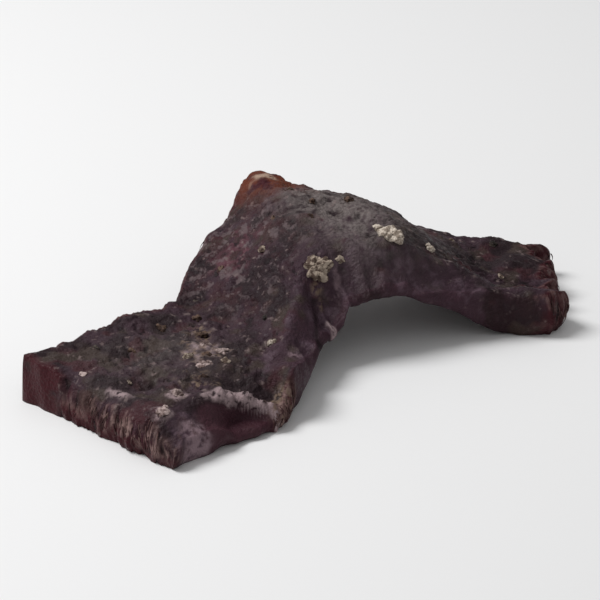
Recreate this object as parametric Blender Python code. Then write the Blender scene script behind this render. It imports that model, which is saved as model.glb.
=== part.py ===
"""A strip of dried beef: one leathery slice that lies flat at its cut end, climbs into a bend,
arches over and comes down to a torn end. Spice crumbs are stuck to its top.

A point of the slice is (s, v, c). s runs along it in millimetres from the cut end, v runs across
from -1 at the front edge to 1 at the back edge, and c runs through the thickness from 0 underneath
to 1 on top.
"""

import math
import random

import bmesh
import bpy
from mathutils import Matrix, Vector, noise

OBJECT_NAME = "dried_beef_strip"
STRIP_NAME = "jerky_strip"
MM = 0.001

# The slice seen from above, in millimetres: matching places on both edges, one station apart
STATION = 8.0
FRONT_EDGE = (
    (-38.3, -24.6), (-28.5, -23.0), (-19.8, -22.2), (-11.8, -17.2), (-5.2, -11.8), (-1.4, -10.0),
    (1.5, -9.5), (5.0, -10.5), (11.0, -11.5), (21.0, -15.0), (31.5, -21.0),
)
BACK_EDGE = (
    (-43.6, 5.4), (-33.5, 7.8), (-24.7, 9.4), (-16.6, 9.7), (-10.0, 16.4), (0.7, 22.0),
    (8.4, 25.2), (13.8, 16.4), (23.0, 10.3), (33.5, 5.5), (43.0, -2.0),
)
LENGTH = STATION * (len(FRONT_EDGE) - 1)
HALF_WIDTH = 15.0

# Thickness, in millimetres
THICKNESS = 5.8
LEAST_THICKNESS = 1.6

# Arch: where the strip leaves its rest and comes back to it, with fold lines that run askew
ARCH_HEIGHT = 10.2
RISE_START = 22.0
RISE_RUN = 24.0
RISE_SKEW = 4.0
FALL_END = 75.0
FALL_RUN = 17.0
FALL_SKEW = 2.5
FRONT_DROOP = 2.2
FRONT_DROOP_FROM = 0.1
BACK_DROOP = 1.9
BACK_DROOP_FROM = 0.3

# Front rim of the bend, rolled down to a thin edge beyond a fold, with small folds running down it
ROLL_DEPTH = 4.0
ROLL_FROM = 0.55
ROLL_START = 21.0
ROLL_RUN = 7.0
ROLL_END = 74.0
ROLL_FADE = 8.0
RIDGE_HEIGHT = 0.6
RIDGE_PLACE = -0.66
RIDGE_REACH = 0.10
FOLD_HEIGHT = 0.9
FOLD_WIDTH = 1.9

# Inner corner of the bend, where the front rim hangs down in a tip beside a crease
TIP_HANG = 3.9
TIP_PLACE = 38.7
TIP_REACH = 5.0
TIP_FROM = 0.45
CREASE_DEPTH = 1.7
CREASE_PLACE = 35.4
CREASE_REACH = 1.5
CREASE_FROM = 0.5

# Outer corner of the bend, curled up and thin
LOBE_PLACE = 47.2
LOBE_REACH = 3.8
LOBE_FROM = 0.35
LOBE_CURL = 4.6
LOBE_THINNING = 2.9

# Back rim and torn end, dried thinner than the rest
BACK_THINNING = 1.9
BACK_THIN_FROM = 0.5
BACK_THIN_START = 8.0
BACK_THIN_RUN = 6.0
BACK_WAVE = 7.0
TORN_THINNING = 1.8
TORN_THIN_RUN = 14.0
TORN_WAVE = 2.0

# Ends and rims
CUT_LEAN = 0.9
CUT_LEAN_AT_CORNERS = 0.6
LEAN_RUN = 14.0
RIM_ROUNDING = 0.7
SQUARE_SHARE = 0.75
SQUARE_FROM = 0.4
SQUARE_FADE = 0.2
SQUARE_RUN = 6.0
SIDE_ROUGHNESS = 0.7
SIDE_GRAIN = 2.6
SIDE_FROM = 0.7
CUT_BAND = 5.0
TORN_BAND = 12.0
CUT_WEAR = 1.2
CUT_WEAR_RUN = 1.8
CUT_WEAR_TO = 0.5
CUT_WEAR_FADE = 0.15
TORN_DEPTH = 2.5
TORN_LOBES = 2.3
TORN_TEETH = 7.0
TORN_TEETH_SHARE = 0.5

# Front rim near the cut end, where the top layer has come away
TEAR_DEPTH = 4.0
TEAR_FROM = 4.2
TEAR_RUN = 4.0
TEAR_START = 0.64
TEAR_END = 1.05
TEAR_TURN = 11.9
TEAR_TURN_RUN = 5.2
TEAR_SLOPE = 0.34
TEAR_STEP = 0.2
TEAR_STEP_FROM = 9.0
TEAR_STEP_RUN = 5.0
TEAR_LIP = 0.7
TEAR_LIP_FROM = 5.0
TEAR_LIP_RUN = 4.0
FLAP_DROOP = 3.3
FLAP_FROM = 0.35
FLAP_START = 8.0
FLAP_RUN = 5.0
FLAP_END = 20.5
FLAP_FADE = 3.0
CORNER_DROOP = 2.6
CORNER_FROM = 0.68
CORNER_END = 7.5
CORNER_FADE = 3.0

# Relief of the top
CRAG_HEIGHT = 0.7
CRAG_SIZE = 5.0
GRAIN_HEIGHT = 0.35
GRAIN_SIZE = 2.4
RIM_LIFT = 0.5
RIM_LIFT_FROM = 0.6
PIT_PLACE = (6.0, -0.08)
PIT_REACH = (2.5, 0.16)
PIT_DEPTH = 1.4
UNDERSIDE_RELIEF = 0.5

# Levels at which the noise is read, so that no two kinds of relief are alike
CRAG_LEVEL = 0.0
RIDGE_LEVEL = 5.1
GRAIN_LEVEL = 9.7
UNDERSIDE_LEVEL = 7.3
SIDE_LEVEL = 3.1
TORN_LEVEL = 3.9
FOLD_LEVEL = 1.7
BACK_LEVEL = 2.6
THINNING_LEVEL = 8.2
TEETH_LEVEL = 1.1

# Mesh of the slice
CELLS_ALONG = 66
CELLS_ACROSS = 26
LAYERS = 3

# Spice crumbs: the larger ones by place (s, v) and radius, the rest by a seeded rule
LARGE_CRUMBS = (
    (39.4, -0.66, 1.80),
    (60.9, -0.53, 1.70),
    (59.2, -0.36, 0.80),
    (20.2, 0.25, 0.80),
    (18.2, 0.08, 1.00),
    (18.8, -0.12, 0.90),
    (16.3, -0.07, 0.75),
    (14.5, 0.03, 0.80),
    (14.1, -0.20, 0.95),
    (16.6, -0.30, 0.75),
    (11.8, -0.38, 0.60),
    (24.4, -0.48, 0.68),
    (48.0, -0.73, 0.70),
    (6.2, -0.50, 0.95),
    (1.7, -0.69, 1.00),
    (2.0, 0.40, 0.65),
    (23.5, 0.55, 0.70),
    (66.2, -0.44, 0.75),
)
SMALL_CRUMBS = 16
SMALL_CRUMB_RADIUS = (0.50, 0.72)
CRUMB_SPACING = 5.0
CRUMB_MARGIN = (4.0, 0.72)
CRUMB_RISE = 0.15
CRUMB_SHAPE = (1.2, 0.9, 0.8)
CRUMB_SEED = 11

# Finish
BEEF_COLOUR = (0.058, 0.040, 0.042, 1.0)
BEEF_ROUGHNESS = 0.5
SHARP_ANGLE = 40.0


def smooth(x):
    """0 below 0, 1 above 1, and an easy step between."""
    x = min(max(x, 0.0), 1.0)
    return x * x * (3.0 - 2.0 * x)


def bump(x, place, reach):
    """A round hump of height 1."""
    return math.exp(-((x - place) / reach) ** 2)


def towards_rim(v, start):
    """0 up to start, 1 at the rim where v is 1."""
    return smooth((v - start) / (1.0 - start))


def on_edge(places, s):
    """The smooth curve through an edge's places, at s."""
    last = len(places) - 1
    k = min(max(int(s / STATION), 0), last - 1)
    part = s / STATION - k
    near = [Vector(places[min(max(k + shift, 0), last)]) for shift in (-1, 0, 1, 2)]
    slope_in = 0.5 * (near[2] - near[0])
    slope_out = 0.5 * (near[3] - near[1])
    ahead = part * part * (3.0 - 2.0 * part)
    curve = near[1] * (1.0 - ahead) + near[2] * ahead
    curve += slope_in * part * (1.0 - part) ** 2
    return curve - slope_out * (1.0 - part) * part * part


def lobe(s, v):
    """1 on the outer corner of the bend, 0 away from it."""
    return bump(s, LOBE_PLACE, LOBE_REACH) * towards_rim(v, LOBE_FROM)


def tip(s, v):
    """1 on the hanging tip at the inner corner of the bend, 0 away from it."""
    return bump(s, TIP_PLACE, TIP_REACH) * towards_rim(-v, TIP_FROM)


def rolled(s):
    """1 along the part of the front rim that is rolled down, 0 elsewhere."""
    return smooth((s - ROLL_START) / ROLL_RUN) * smooth((ROLL_END - s) / ROLL_FADE)


def arched(s, v):
    """1 where the strip is clear of its rest, 0 where it lies on it."""
    rise = smooth((s - RISE_SKEW * v - RISE_START) / RISE_RUN)
    return rise * smooth((FALL_END - s - FALL_SKEW * v) / FALL_RUN)


def thinned(s, v):
    """How much of the underside is missing towards the back rim, in millimetres."""
    wave = 0.5 + noise.noise(Vector((s / BACK_WAVE, 0.0, BACK_LEVEL)))
    start = smooth((s - BACK_THIN_START) / BACK_THIN_RUN) * (1.0 - lobe(s, v))
    return BACK_THINNING * smooth(wave) * start * towards_rim(v, BACK_THIN_FROM)


def underside(s, v):
    height = arched(s, v)
    z = ARCH_HEIGHT * height
    z -= FRONT_DROOP * height * towards_rim(-v, FRONT_DROOP_FROM)
    z -= BACK_DROOP * height * towards_rim(v, BACK_DROOP_FROM)
    z += LOBE_CURL * lobe(s, v) - TIP_HANG * tip(s, v)
    spot = Vector((s / CRAG_SIZE, HALF_WIDTH * v / CRAG_SIZE, UNDERSIDE_LEVEL))
    return z + UNDERSIDE_RELIEF * height * noise.noise(spot) + thinned(s, v)


def tear(s, v):
    """Depth of the missing top layer along the front rim near the cut end, with its raised lip."""
    turned = smooth((s - TEAR_TURN) / TEAR_TURN_RUN)
    line = TEAR_START + (TEAR_END - TEAR_START) * turned
    stepped = smooth((s - TEAR_STEP_FROM) / TEAR_STEP_RUN)
    run = TEAR_SLOPE + (TEAR_STEP - TEAR_SLOPE) * stepped
    lip = TEAR_LIP * smooth((s - TEAR_LIP_FROM) / TEAR_LIP_RUN)
    lip *= bump(s, TEAR_TURN, TEAR_TURN_RUN) * bump(-v, line, 0.5 * TEAR_STEP)
    depth = TEAR_DEPTH * smooth((s - TEAR_FROM) / TEAR_RUN)
    return depth * smooth((-v - line) / run) - lip


def front_fall(s, v):
    """How far the top comes down towards the front rim: its corner, flap, roll and crease."""
    flap = smooth((s - FLAP_START) / FLAP_RUN) * smooth((FLAP_END - s) / FLAP_FADE)
    fall = FLAP_DROOP * flap * towards_rim(-v, FLAP_FROM)
    corner = smooth((CORNER_END - s) / CORNER_FADE)
    fall += CORNER_DROOP * corner * towards_rim(-v, CORNER_FROM)
    folds = FOLD_HEIGHT * noise.noise(Vector((s / FOLD_WIDTH, 0.5 * v, FOLD_LEVEL)))
    fall += (ROLL_DEPTH + folds) * rolled(s) * towards_rim(-v, ROLL_FROM)
    fall -= RIDGE_HEIGHT * rolled(s) * bump(v, RIDGE_PLACE, RIDGE_REACH)
    return fall + CREASE_DEPTH * bump(s, CREASE_PLACE, CREASE_REACH) * towards_rim(-v, CREASE_FROM)


def relief(place, s, v):
    """Crags and grain of the top above a place seen from above, in millimetres."""
    crag = place / CRAG_SIZE
    grain = place / GRAIN_SIZE
    crags = noise.noise(Vector((crag.x, crag.y, CRAG_LEVEL)))
    ridges = abs(noise.noise(Vector((crag.x, crag.y, RIDGE_LEVEL))))
    height = CRAG_HEIGHT * (crags + 0.5 * ridges)
    height += GRAIN_HEIGHT * noise.noise(Vector((grain.x, grain.y, GRAIN_LEVEL)))
    height += RIM_LIFT * (1.0 - arched(s, v)) * towards_rim(abs(v), RIM_LIFT_FROM)
    height -= CUT_WEAR * (1.0 - smooth(s / CUT_WEAR_RUN)) * smooth((CUT_WEAR_TO - v) / CUT_WEAR_FADE)
    pit_s = (s - PIT_PLACE[0]) / PIT_REACH[0]
    pit_v = (v - PIT_PLACE[1]) / PIT_REACH[1]
    return height - PIT_DEPTH * math.exp(-pit_s ** 2 - pit_v ** 2)


def thickness(place, s, v):
    depth = THICKNESS + relief(place, s, v) - tear(s, v)
    depth -= LOBE_THINNING * lobe(s, v) + front_fall(s, v) + thinned(s, v)
    wave = 0.5 + noise.noise(Vector((TORN_WAVE * v, 0.0, THINNING_LEVEL)))
    depth -= TORN_THINNING * smooth(wave) * smooth((s - LENGTH) / TORN_THIN_RUN + 1.0)
    return max(depth, LEAST_THICKNESS)


def square(s, v):
    """How much less rounded the rims are: at the back corner of the cut end only."""
    corner = smooth((v - SQUARE_FROM) / SQUARE_FADE) * (1.0 - smooth(s / SQUARE_RUN))
    return SQUARE_SHARE * corner


def inset(a, c, squareness):
    """How far the rim stands in, in millimetres, at a distance a along it: rounded and rough."""
    rounding = RIM_ROUNDING * (1.0 - squareness) * (2.0 * c - 1.0) ** 2
    rough = SIDE_ROUGHNESS * noise.noise(Vector((a / SIDE_GRAIN, SIDE_LEVEL, c)))
    return rounding + rough


def ends(s, v, c):
    """Where s comes to lie once both ends are shaped: a leaning cut and a ragged tear."""
    lean = CUT_LEAN_AT_CORNERS + (CUT_LEAN - CUT_LEAN_AT_CORNERS) * (1.0 - v * v)
    along = s + lean * c * (1.0 - smooth(s / LEAN_RUN))
    along += inset(HALF_WIDTH * v, c, square(s, v)) * (1.0 - smooth(s / CUT_BAND))
    ragged = 0.6 + noise.noise(Vector((TORN_LOBES * v, 0.4 * c, TORN_LEVEL)))
    ragged += TORN_TEETH_SHARE * noise.noise(Vector((TORN_TEETH * v, 0.4 * c, TEETH_LEVEL)))
    torn = inset(HALF_WIDTH * v + LENGTH, c, 0.0) + TORN_DEPTH * ragged
    return along - torn * smooth((s - LENGTH) / TORN_BAND + 1.0)


def point(s, v, c):
    """The slice's point (s, v, c), in millimetres."""
    along = ends(s, v, c)
    front = on_edge(FRONT_EDGE, along)
    back = on_edge(BACK_EDGE, along)
    inward = (back - front).normalized() * towards_rim(abs(v), SIDE_FROM)
    place = front.lerp(back, 0.5 * (v + 1.0))
    side = math.copysign(1.0, v)
    place -= inward * side * inset(s + 2.0 * LENGTH * side, c, square(s, v))
    z = underside(s, v) + c * thickness(place, s, v)
    return Vector((place.x, place.y, z))


def top_normal(s, v):
    """The direction that the top faces at (s, v)."""
    along = point(s + 0.5, v, 1.0) - point(s - 0.5, v, 1.0)
    over = point(s, v + 0.03, 1.0) - point(s, v - 0.03, 1.0)
    return along.cross(over).normalized()


def flat_slab():
    """A closed slab of cells: x and y from -1 to 1, z from 0 to 1."""
    model = bmesh.new()
    bmesh.ops.create_grid(model, x_segments=CELLS_ALONG, y_segments=CELLS_ACROSS, size=1.0)
    lifted = bmesh.ops.extrude_face_region(model, geom=model.faces[:])["geom"]
    top = [item for item in lifted if isinstance(item, bmesh.types.BMVert)]
    bmesh.ops.translate(model, verts=top, vec=(0.0, 0.0, 1.0))
    uprights = [edge for edge in model.edges if edge.verts[0].co.z != edge.verts[1].co.z]
    bmesh.ops.subdivide_edges(model, edges=uprights, cuts=LAYERS - 1, use_grid_fill=True)
    bmesh.ops.recalc_face_normals(model, faces=model.faces[:])
    return model


def add_strip(collection):
    """The slice: the flat slab with every vertex carried to its place."""
    model = flat_slab()
    for vertex in model.verts:
        s = 0.5 * (vertex.co.x + 1.0) * LENGTH
        vertex.co = point(s, vertex.co.y, vertex.co.z) * MM
    mesh = bpy.data.meshes.new(STRIP_NAME)
    model.to_mesh(mesh)
    model.free()
    strip = bpy.data.objects.new(STRIP_NAME, mesh)
    collection.objects.link(strip)
    return strip


def crumb_places():
    """Places (s, v, radius) of all crumbs: the large ones, then small ones well spread."""
    dice = random.Random(CRUMB_SEED)
    places = list(LARGE_CRUMBS)
    while len(places) < len(LARGE_CRUMBS) + SMALL_CRUMBS:
        s = dice.uniform(CRUMB_MARGIN[0], LENGTH - CRUMB_MARGIN[0])
        v = dice.uniform(-CRUMB_MARGIN[1], CRUMB_MARGIN[1])
        radius = dice.uniform(*SMALL_CRUMB_RADIUS)
        spot = point(s, v, 1.0)
        if min((spot - point(other[0], other[1], 1.0)).length for other in places) > CRUMB_SPACING:
            places.append((s, v, radius))
    return places


def add_crumb(collection, number, s, v, radius):
    """An uneven grain, sunk partly into the top."""
    dice = random.Random(CRUMB_SEED + number)
    model = bmesh.new()
    bmesh.ops.create_icosphere(model, subdivisions=1, radius=radius)
    for vertex in model.verts:
        vertex.co *= dice.uniform(0.8, 1.15)
    facing = top_normal(s, v)
    spot = point(s, v, 1.0) + facing * radius * CRUMB_RISE
    stand = facing.to_track_quat("Z", "Y").to_matrix().to_4x4()
    turn = Matrix.Rotation(dice.uniform(0.0, math.tau), 4, "Z")
    shape = Matrix.Diagonal((*CRUMB_SHAPE, 1.0))
    place = Matrix.Scale(MM, 4) @ Matrix.Translation(spot) @ stand @ turn @ shape
    bmesh.ops.transform(model, matrix=place, verts=model.verts)
    mesh = bpy.data.meshes.new(f"crumb_{number}")
    model.to_mesh(mesh)
    model.free()
    collection.objects.link(bpy.data.objects.new(f"crumb_{number}", mesh))


def fuse(strip, crumbs):
    """One union of the strip with every crumb; the crumbs' own objects then go."""
    union = strip.modifiers.new("fuse_crumbs", "BOOLEAN")
    union.operation = "UNION"
    union.operand_type = "COLLECTION"
    union.collection = crumbs
    union.solver = "EXACT"
    bpy.context.view_layer.objects.active = strip
    bpy.ops.object.modifier_apply(modifier=union.name)
    for crumb in list(crumbs.objects):
        bpy.data.objects.remove(crumb, do_unlink=True)
    bpy.data.collections.remove(crumbs)


def centre_over_origin(strip):
    """The origin goes to the middle of the bounding box, at the height of the rest."""
    for axis in range(3):
        values = [vertex.co[axis] for vertex in strip.data.vertices]
        shift = min(values) if axis == 2 else 0.5 * (min(values) + max(values))
        for vertex in strip.data.vertices:
            vertex.co[axis] -= shift


def beef_material():
    material = bpy.data.materials.new("dried_beef")
    material.use_nodes = True
    shader = material.node_tree.nodes["Principled BSDF"]
    shader.inputs["Base Color"].default_value = BEEF_COLOUR
    shader.inputs["Roughness"].default_value = BEEF_ROUGHNESS
    shader.inputs["Metallic"].default_value = 0.0
    return material


for old in list(bpy.data.objects):
    bpy.data.objects.remove(old, do_unlink=True)

parts = bpy.data.collections.new(OBJECT_NAME)
bpy.context.scene.collection.children.link(parts)
crumbs = bpy.data.collections.new("crumbs")
bpy.context.scene.collection.children.link(crumbs)

strip = add_strip(parts)
for number, (s, v, radius) in enumerate(crumb_places()):
    add_crumb(crumbs, number, s, v, radius)
fuse(strip, crumbs)
centre_over_origin(strip)
strip.data.materials.append(beef_material())
strip.data.shade_smooth()
strip.data.set_sharp_from_angle(angle=math.radians(SHARP_ANGLE))
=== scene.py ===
import math
import random

import bpy
from mathutils import Matrix, Vector, noise


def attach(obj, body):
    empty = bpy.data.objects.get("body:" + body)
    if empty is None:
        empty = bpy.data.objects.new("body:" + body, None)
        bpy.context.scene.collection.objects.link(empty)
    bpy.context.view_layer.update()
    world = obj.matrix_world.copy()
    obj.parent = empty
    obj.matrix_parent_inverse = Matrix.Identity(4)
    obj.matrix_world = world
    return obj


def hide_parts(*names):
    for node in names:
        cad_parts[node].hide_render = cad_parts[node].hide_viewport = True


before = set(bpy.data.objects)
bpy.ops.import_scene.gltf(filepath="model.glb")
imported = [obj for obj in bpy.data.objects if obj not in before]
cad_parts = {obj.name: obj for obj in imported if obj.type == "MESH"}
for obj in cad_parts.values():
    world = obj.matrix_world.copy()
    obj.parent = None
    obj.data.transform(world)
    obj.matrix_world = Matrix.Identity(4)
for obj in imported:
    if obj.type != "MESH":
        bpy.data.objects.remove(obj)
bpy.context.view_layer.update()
MM = 0.001

# The slice. Lean beef, cut about six millimetres thick, salted and dried until it is dark,
# leathery and stiff. It was cut flat, and curled into its bend as it dried; the rims were cut
# at one end and torn elsewhere, so their fibres stand open.

# A point of the slice is (s, v, c). s runs along it in millimetres from the cut end, v across it from
# -1 at the front edge to 1 at the back edge, and c from 0 underneath to 1 on top.

# The slice seen from above, in millimetres: matching places on both edges, one station apart
STATION = 8.0
FRONT_EDGE = (
    (-38.3, -24.6), (-28.5, -23.0), (-19.8, -22.2), (-11.8, -17.2), (-5.2, -11.8), (-1.4, -10.0),
    (1.5, -9.5), (5.0, -10.5), (11.0, -11.5), (21.0, -15.0), (31.5, -21.0),
)
BACK_EDGE = (
    (-43.6, 5.4), (-33.5, 7.8), (-24.7, 9.4), (-16.6, 9.7), (-10.0, 16.4), (0.7, 22.0),
    (8.4, 25.2), (13.8, 16.4), (23.0, 10.3), (33.5, 5.5), (43.0, -2.0),
)
MIDDLE = Vector((-0.553, 0.314, 0.0))
LENGTH = STATION * (len(FRONT_EDGE) - 1)
HALF_WIDTH = 15.0

# Thickness, in millimetres
THICKNESS = 5.8
LEAST_THICKNESS = 1.6

# Arch: where the strip leaves its rest and comes back to it, with fold lines that run askew
ARCH_HEIGHT = 10.2
RISE_START = 22.0
RISE_RUN = 24.0
RISE_SKEW = 4.0
FALL_END = 75.0
FALL_RUN = 17.0
FALL_SKEW = 2.5
FRONT_DROOP = 2.2
FRONT_DROOP_FROM = 0.1
BACK_DROOP = 1.9
BACK_DROOP_FROM = 0.3

# Front rim of the bend, rolled down to a thin edge beyond a fold, with small folds running down it
ROLL_DEPTH = 4.0
ROLL_FROM = 0.55
ROLL_START = 21.0
ROLL_RUN = 7.0
ROLL_END = 74.0
ROLL_FADE = 8.0
RIDGE_HEIGHT = 0.6
RIDGE_PLACE = -0.66
RIDGE_REACH = 0.10
FOLD_HEIGHT = 0.9
FOLD_WIDTH = 1.9

# Inner corner of the bend, where the front rim hangs down in a tip beside a crease
TIP_HANG = 3.9
TIP_PLACE = 38.7
TIP_REACH = 5.0
TIP_FROM = 0.45
CREASE_DEPTH = 1.7
CREASE_PLACE = 35.4
CREASE_REACH = 1.5
CREASE_FROM = 0.5

# Outer corner of the bend, curled up and thin
LOBE_PLACE = 47.2
LOBE_REACH = 3.8
LOBE_FROM = 0.35
LOBE_CURL = 4.6
LOBE_THINNING = 2.9

# Back rim and torn end, dried thinner than the rest
BACK_THINNING = 1.9
BACK_THIN_FROM = 0.5
BACK_THIN_START = 8.0
BACK_THIN_RUN = 6.0
BACK_WAVE = 7.0
TORN_THINNING = 1.8
TORN_THIN_RUN = 14.0
TORN_WAVE = 2.0

# Ends and rims
CUT_LEAN = 0.9
CUT_LEAN_AT_CORNERS = 0.6
LEAN_RUN = 14.0
RIM_ROUNDING = 0.7
SQUARE_SHARE = 0.75
SQUARE_FROM = 0.4
SQUARE_FADE = 0.2
SQUARE_RUN = 6.0
SIDE_ROUGHNESS = 0.7
SIDE_GRAIN = 2.6
SIDE_FROM = 0.7
CUT_BAND = 5.0
TORN_BAND = 12.0
CUT_WEAR = 1.2
CUT_WEAR_RUN = 1.8
CUT_WEAR_TO = 0.5
CUT_WEAR_FADE = 0.15
TORN_DEPTH = 2.5
TORN_LOBES = 2.3
TORN_TEETH = 7.0
TORN_TEETH_SHARE = 0.5

# Front rim near the cut end, where the top layer has come away
TEAR_DEPTH = 4.0
TEAR_FROM = 4.2
TEAR_RUN = 4.0
TEAR_START = 0.64
TEAR_END = 1.05
TEAR_TURN = 11.9
TEAR_TURN_RUN = 5.2
TEAR_SLOPE = 0.34
TEAR_STEP = 0.2
TEAR_STEP_FROM = 9.0
TEAR_STEP_RUN = 5.0
TEAR_LIP = 0.7
TEAR_LIP_FROM = 5.0
TEAR_LIP_RUN = 4.0
FLAP_DROOP = 3.3
FLAP_FROM = 0.35
FLAP_START = 8.0
FLAP_RUN = 5.0
FLAP_END = 20.5
FLAP_FADE = 3.0
CORNER_DROOP = 2.6
CORNER_FROM = 0.68
CORNER_END = 7.5
CORNER_FADE = 3.0

# Relief of the top
CRAG_HEIGHT = 0.7
CRAG_SIZE = 5.0
GRAIN_HEIGHT = 0.35
GRAIN_SIZE = 2.4
RIM_LIFT = 0.5
RIM_LIFT_FROM = 0.6
PIT_PLACE = (6.0, -0.08)
PIT_REACH = (2.5, 0.16)
PIT_DEPTH = 1.4
UNDERSIDE_RELIEF = 0.5

# Levels at which the noise is read, so that no two kinds of relief are alike
CRAG_LEVEL = 0.0
RIDGE_LEVEL = 5.1
GRAIN_LEVEL = 9.7
UNDERSIDE_LEVEL = 7.3
SIDE_LEVEL = 3.1
TORN_LEVEL = 3.9
FOLD_LEVEL = 1.7
BACK_LEVEL = 2.6
THINNING_LEVEL = 8.2
TEETH_LEVEL = 1.1


def smooth(x):
    """0 below 0, 1 above 1, and an easy step between."""
    x = min(max(x, 0.0), 1.0)
    return x * x * (3.0 - 2.0 * x)


def bump(x, place, reach):
    """A round hump of height 1."""
    return math.exp(-((x - place) / reach) ** 2)


def towards_rim(v, start):
    """0 up to start, 1 at the rim where v is 1."""
    return smooth((v - start) / (1.0 - start))


def on_edge(places, s):
    """The smooth curve through an edge's places, at s."""
    last = len(places) - 1
    k = min(max(int(s / STATION), 0), last - 1)
    part = s / STATION - k
    near = [Vector(places[min(max(k + shift, 0), last)]) for shift in (-1, 0, 1, 2)]
    slope_in = 0.5 * (near[2] - near[0])
    slope_out = 0.5 * (near[3] - near[1])
    ahead = part * part * (3.0 - 2.0 * part)
    curve = near[1] * (1.0 - ahead) + near[2] * ahead
    curve += slope_in * part * (1.0 - part) ** 2
    return curve - slope_out * (1.0 - part) * part * part


def lobe(s, v):
    """1 on the outer corner of the bend, 0 away from it."""
    return bump(s, LOBE_PLACE, LOBE_REACH) * towards_rim(v, LOBE_FROM)


def tip(s, v):
    """1 on the hanging tip at the inner corner of the bend, 0 away from it."""
    return bump(s, TIP_PLACE, TIP_REACH) * towards_rim(-v, TIP_FROM)


def rolled(s):
    """1 along the part of the front rim that is rolled down, 0 elsewhere."""
    return smooth((s - ROLL_START) / ROLL_RUN) * smooth((ROLL_END - s) / ROLL_FADE)


def arched(s, v):
    """1 where the strip is clear of its rest, 0 where it lies on it."""
    rise = smooth((s - RISE_SKEW * v - RISE_START) / RISE_RUN)
    return rise * smooth((FALL_END - s - FALL_SKEW * v) / FALL_RUN)


def thinned(s, v):
    """How much of the underside is missing towards the back rim, in millimetres."""
    wave = 0.5 + noise.noise(Vector((s / BACK_WAVE, 0.0, BACK_LEVEL)))
    start = smooth((s - BACK_THIN_START) / BACK_THIN_RUN) * (1.0 - lobe(s, v))
    return BACK_THINNING * smooth(wave) * start * towards_rim(v, BACK_THIN_FROM)


def underside(s, v):
    """Height of the underside, in millimetres."""
    height = arched(s, v)
    z = ARCH_HEIGHT * height
    z -= FRONT_DROOP * height * towards_rim(-v, FRONT_DROOP_FROM)
    z -= BACK_DROOP * height * towards_rim(v, BACK_DROOP_FROM)
    z += LOBE_CURL * lobe(s, v) - TIP_HANG * tip(s, v)
    spot = Vector((s / CRAG_SIZE, HALF_WIDTH * v / CRAG_SIZE, UNDERSIDE_LEVEL))
    return z + UNDERSIDE_RELIEF * height * noise.noise(spot) + thinned(s, v)


def tear_line(s):
    """How far across towards the front the notch begins."""
    return TEAR_START + (TEAR_END - TEAR_START) * smooth((s - TEAR_TURN) / TEAR_TURN_RUN)


def tear(s, v):
    """Depth of the missing top layer along the front rim near the cut end, with its raised lip."""
    line = tear_line(s)
    stepped = smooth((s - TEAR_STEP_FROM) / TEAR_STEP_RUN)
    run = TEAR_SLOPE + (TEAR_STEP - TEAR_SLOPE) * stepped
    lip = TEAR_LIP * smooth((s - TEAR_LIP_FROM) / TEAR_LIP_RUN)
    lip *= bump(s, TEAR_TURN, TEAR_TURN_RUN) * bump(-v, line, 0.5 * TEAR_STEP)
    depth = TEAR_DEPTH * smooth((s - TEAR_FROM) / TEAR_RUN)
    return depth * smooth((-v - line) / run) - lip


def front_fall(s, v):
    """How far the top comes down towards the front rim: its corner, flap, roll and crease."""
    flap = smooth((s - FLAP_START) / FLAP_RUN) * smooth((FLAP_END - s) / FLAP_FADE)
    fall = FLAP_DROOP * flap * towards_rim(-v, FLAP_FROM)
    corner = smooth((CORNER_END - s) / CORNER_FADE)
    fall += CORNER_DROOP * corner * towards_rim(-v, CORNER_FROM)
    folds = FOLD_HEIGHT * noise.noise(Vector((s / FOLD_WIDTH, 0.5 * v, FOLD_LEVEL)))
    fall += (ROLL_DEPTH + folds) * rolled(s) * towards_rim(-v, ROLL_FROM)
    fall -= RIDGE_HEIGHT * rolled(s) * bump(v, RIDGE_PLACE, RIDGE_REACH)
    return fall + CREASE_DEPTH * bump(s, CREASE_PLACE, CREASE_REACH) * towards_rim(-v, CREASE_FROM)


def relief(place, s, v):
    """Crags and grain of the top above a place seen from above, in millimetres."""
    crag = place / CRAG_SIZE
    grain = place / GRAIN_SIZE
    crags = noise.noise(Vector((crag.x, crag.y, CRAG_LEVEL)))
    ridges = abs(noise.noise(Vector((crag.x, crag.y, RIDGE_LEVEL))))
    height = CRAG_HEIGHT * (crags + 0.5 * ridges)
    height += GRAIN_HEIGHT * noise.noise(Vector((grain.x, grain.y, GRAIN_LEVEL)))
    height += RIM_LIFT * (1.0 - arched(s, v)) * towards_rim(abs(v), RIM_LIFT_FROM)
    height -= CUT_WEAR * (1.0 - smooth(s / CUT_WEAR_RUN)) * smooth((CUT_WEAR_TO - v) / CUT_WEAR_FADE)
    pit_s = (s - PIT_PLACE[0]) / PIT_REACH[0]
    pit_v = (v - PIT_PLACE[1]) / PIT_REACH[1]
    return height - PIT_DEPTH * math.exp(-pit_s ** 2 - pit_v ** 2)


def thickness(place, s, v):
    """Thickness at a place seen from above, in millimetres."""
    depth = THICKNESS + relief(place, s, v) - tear(s, v)
    depth -= LOBE_THINNING * lobe(s, v) + front_fall(s, v) + thinned(s, v)
    wave = 0.5 + noise.noise(Vector((TORN_WAVE * v, 0.0, THINNING_LEVEL)))
    depth -= TORN_THINNING * smooth(wave) * smooth((s - LENGTH) / TORN_THIN_RUN + 1.0)
    return max(depth, LEAST_THICKNESS)


def square(s, v):
    """How much less rounded the rims are: at the back corner of the cut end only."""
    corner = smooth((v - SQUARE_FROM) / SQUARE_FADE) * (1.0 - smooth(s / SQUARE_RUN))
    return SQUARE_SHARE * corner


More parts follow.
